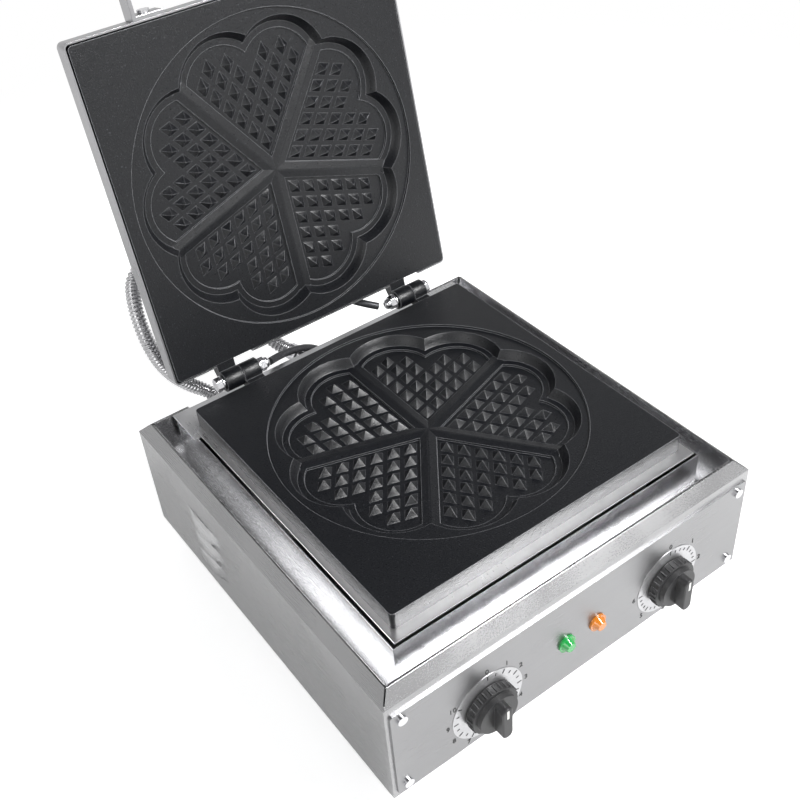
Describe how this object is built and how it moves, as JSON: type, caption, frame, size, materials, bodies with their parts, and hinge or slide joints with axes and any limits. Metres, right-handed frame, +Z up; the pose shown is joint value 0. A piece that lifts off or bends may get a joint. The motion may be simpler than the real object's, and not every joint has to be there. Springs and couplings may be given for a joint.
{
  "type": "heart waffle maker",
  "caption": "Countertop waffle maker with heart shaped baking plates, a hinged lid, a steel casing with a drip channel, and thermostat and timer knobs.",
  "frame": {"origin": "centre of the object's outline at rest, on the table under the feet", "axes": "+X to the right seen from the front, +Y to the back where the hinge is, +Z up"},
  "size_m": [0.3262, 0.4258, 0.4597],
  "materials": {
    "black_plastic": "moulded",
    "brushed": "brushed",
    "conduit": "bright",
    "copper": "drawn",
    "dark_steel": "satin",
    "dial": "printed",
    "element": "oxidised",
    "galvanised": "plain",
    "lamp_amber": "tinted lens",
    "lamp_green": "tinted lens",
    "nonstick": "satin non-stick coating",
    "panel": "brushed",
    "rubber": "moulded",
    "white_plastic": "moulded",
    "wool": "ceramic fibre",
    "zinc": "bright zinc"
  },
  "bodies": {
    "base": {"base_ferrules": "zinc", "base_stay": "dark_steel", "bottom_plate": "galvanised", "cap_nuts": "zinc", "casing": "brushed", "control_panel": "panel", "dial_rings": "dial", "drip_tray": "brushed", "feet": "rubber", "foot_screws": "zinc", "heat_lamp": "lamp_amber", "hinge_bolts": "zinc", "hinge_washers": "zinc", "left_conduit": "conduit", "lower_clamp_bolts": "zinc", "lower_clamp_plate": "galvanised", "lower_heating_element": "element", "lower_insulation": "wool", "lower_plate": "nonstick", "mains_gland": "black_plastic", "panel_screws": "zinc", "plate_support": "galvanised", "power_lamp": "lamp_green", "right_conduit": "conduit", "temperature_sensor": "copper", "terminal_block": "white_plastic", "thermostat": "galvanised", "timer": "galvanised"},
    "lid": {"cover_screws": "zinc", "handle_arms": "brushed", "handle_grip": "black_plastic", "handle_rod": "zinc", "handle_screws": "zinc", "lid_cover": "brushed", "lid_ferrules": "zinc", "lid_stay": "dark_steel", "upper_clamp_bolts": "zinc", "upper_clamp_plate": "galvanised", "upper_heating_element": "element", "upper_insulation": "wool", "upper_plate": "nonstick"},
    "thermostat_dial": {"thermostat_knob": "black_plastic", "thermostat_pointer": "white_plastic"},
    "timer_dial": {"timer_knob": "black_plastic", "timer_pointer": "white_plastic"}
  },
  "joints": [
    {"name": "lid_hinge", "type": "hinge", "parent": "base", "child": "lid", "pos_m": [0, 0.10944, 0.1415], "axis": [1, 0, 0], "range_deg": [0, 101.4], "deforming": ["left_conduit", "right_conduit"]},
    {"name": "thermostat_turn", "type": "hinge", "parent": "base", "child": "thermostat_dial", "pos_m": [0.082, -0.19076, 0.056], "axis": [0, -1, 0], "range_deg": [-270, 0]},
    {"name": "timer_turn", "type": "hinge", "parent": "base", "child": "timer_dial", "pos_m": [-0.082, -0.19076, 0.056], "axis": [0, -1, 0], "range_deg": [-300, 0]}
  ]
}
